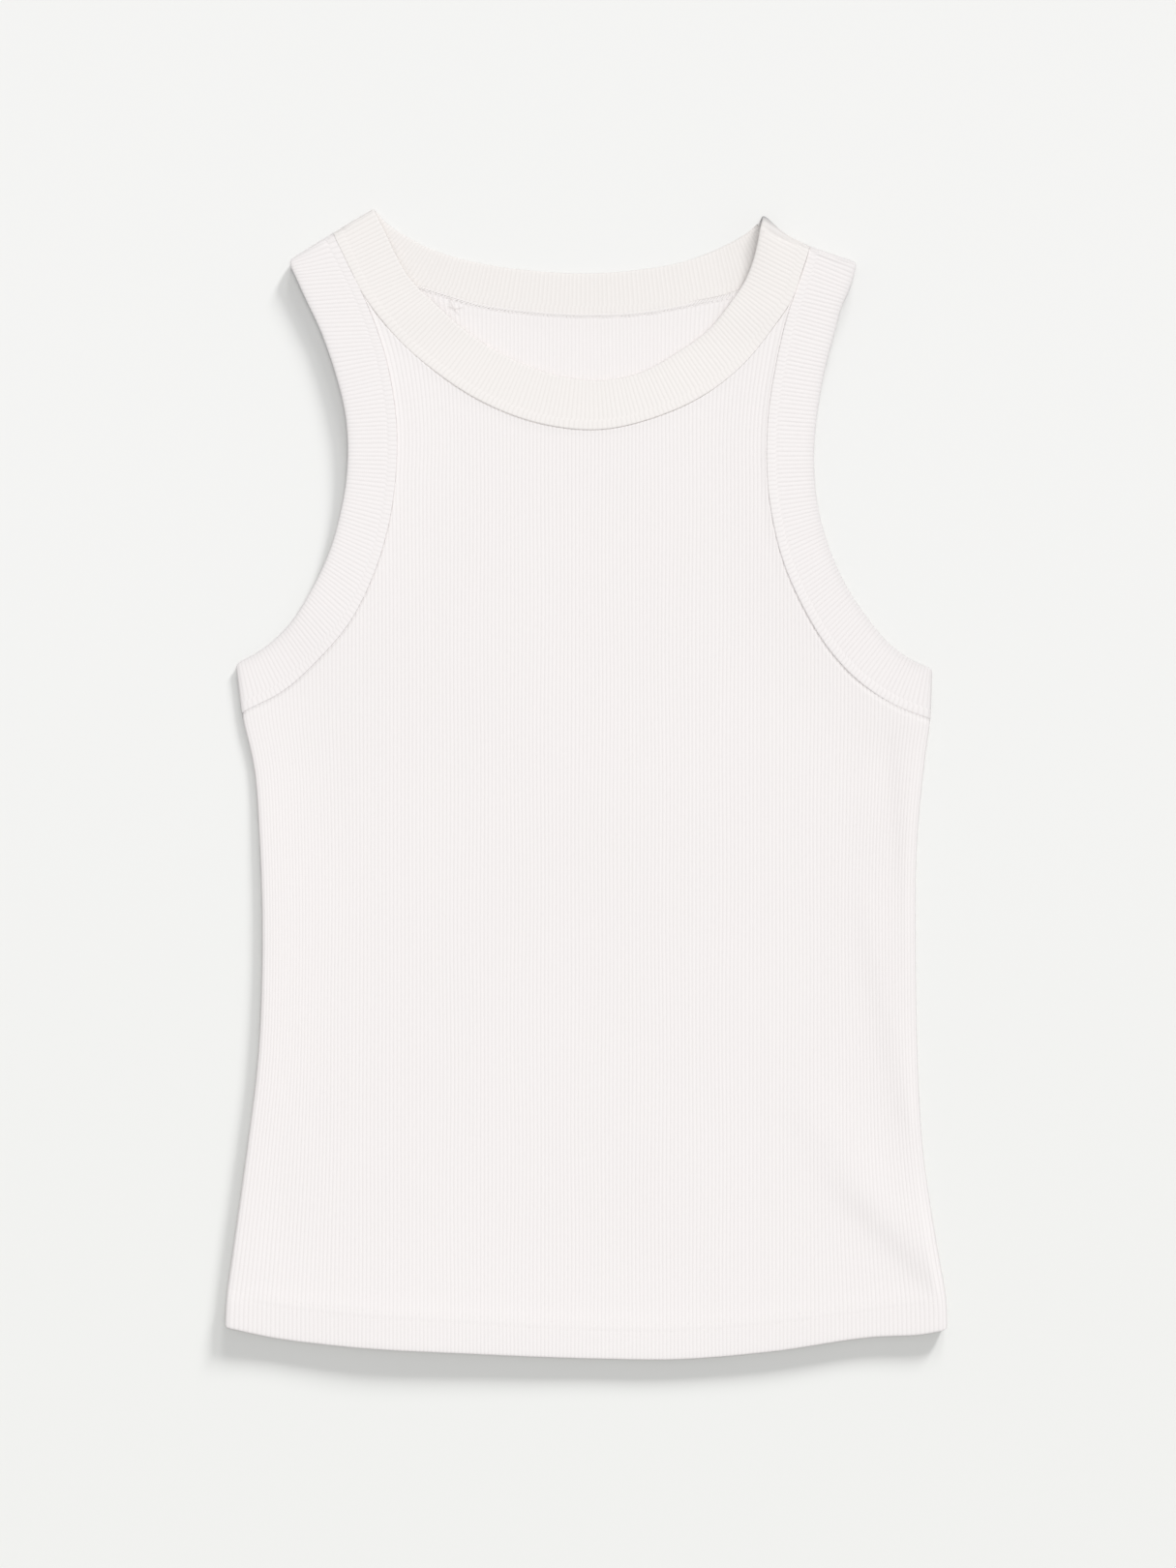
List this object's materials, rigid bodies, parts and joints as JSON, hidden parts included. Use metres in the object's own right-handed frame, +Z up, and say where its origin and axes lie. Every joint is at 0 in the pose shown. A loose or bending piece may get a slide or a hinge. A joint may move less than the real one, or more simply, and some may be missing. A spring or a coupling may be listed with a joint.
{
  "type": "tank top",
  "caption": "Sleeveless white rib-knit tank top laid flat, with a scooped neck, wide rib bands round the neck and armholes, and a turned-up hem.",
  "frame": {"origin": "under the middle of the whole garment's box, on the surface that it lies on", "axes": "+X towards the viewer's right across the body, +Y from the hem towards the neck, +Z up out of the front"},
  "size_m": [0.388, 0.617, 0.0081],
  "materials": {
    "body_knit": "matte cotton rib knit, white",
    "band_rib": "matte cotton rib band, warm white"
  },
  "bodies": {
    "root": {"front_panel": "body_knit", "back_panel": "body_knit", "neckband": "band_rib", "arm_band_left": "band_rib", "arm_band_right": "band_rib"}
  },
  "joints": []
}
